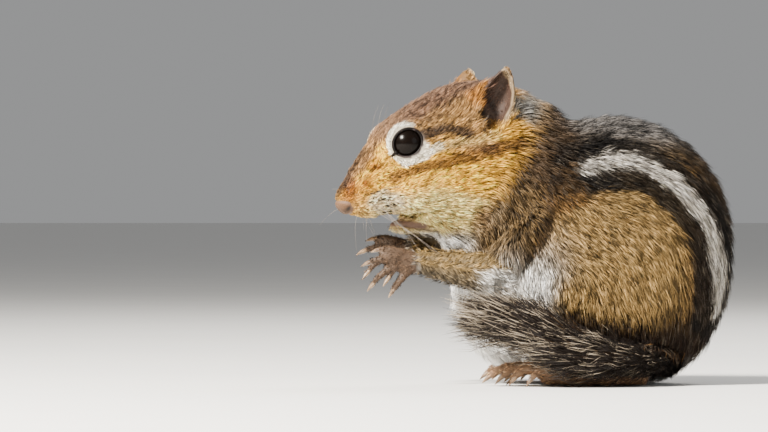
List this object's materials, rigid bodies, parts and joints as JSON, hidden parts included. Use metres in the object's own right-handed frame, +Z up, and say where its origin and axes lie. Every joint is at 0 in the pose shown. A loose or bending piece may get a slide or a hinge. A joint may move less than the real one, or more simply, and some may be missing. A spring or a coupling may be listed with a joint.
{
  "type": "chipmunk model",
  "caption": "A sitting chipmunk, still and life-size: back rounded, both hands raised before the mouth, bushy tail laid forward along its left side.",
  "frame": {"origin": "center of the bounding box at the level of the floor that it rests on", "axes": "+X towards the tail, so it faces -X; -Y is its left side; +Z up"},
  "size_m": [0.0946, 0.0663, 0.0752],
  "materials": {
    "flank_fur": "matte, short dense fur with stripes",
    "neck_fur": "matte, short dense fur",
    "face_fur": "matte, very short fur with stripes",
    "chin_fur": "matte, short pale fur",
    "eye": "wet and dark",
    "ear_skin": "thin skin with fine down",
    "foot_fur": "matte, very short fur over skin",
    "arm_fur": "matte, short fur",
    "hand_fur": "thin skin with very short fur",
    "tail_fur": "long, loose, frosted hair"
  },
  "bodies": {
    "root": {"torso": "flank_fur", "neck": "neck_fur", "head": "face_fur", "lower_jaw": "chin_fur", "eye_left": "eye", "eye_right": "eye", "ear_left": "ear_skin", "ear_right": "ear_skin", "thigh_left": "flank_fur", "thigh_right": "flank_fur", "hind_foot_left": "foot_fur", "hind_foot_right": "foot_fur", "upper_arm_left": "arm_fur", "upper_arm_right": "arm_fur", "forearm_left": "arm_fur", "forearm_right": "arm_fur", "hand_left": "hand_fur", "hand_right": "hand_fur", "tail_base": "tail_fur", "tail_middle": "tail_fur", "tail_tip": "tail_fur"}
  },
  "joints": []
}
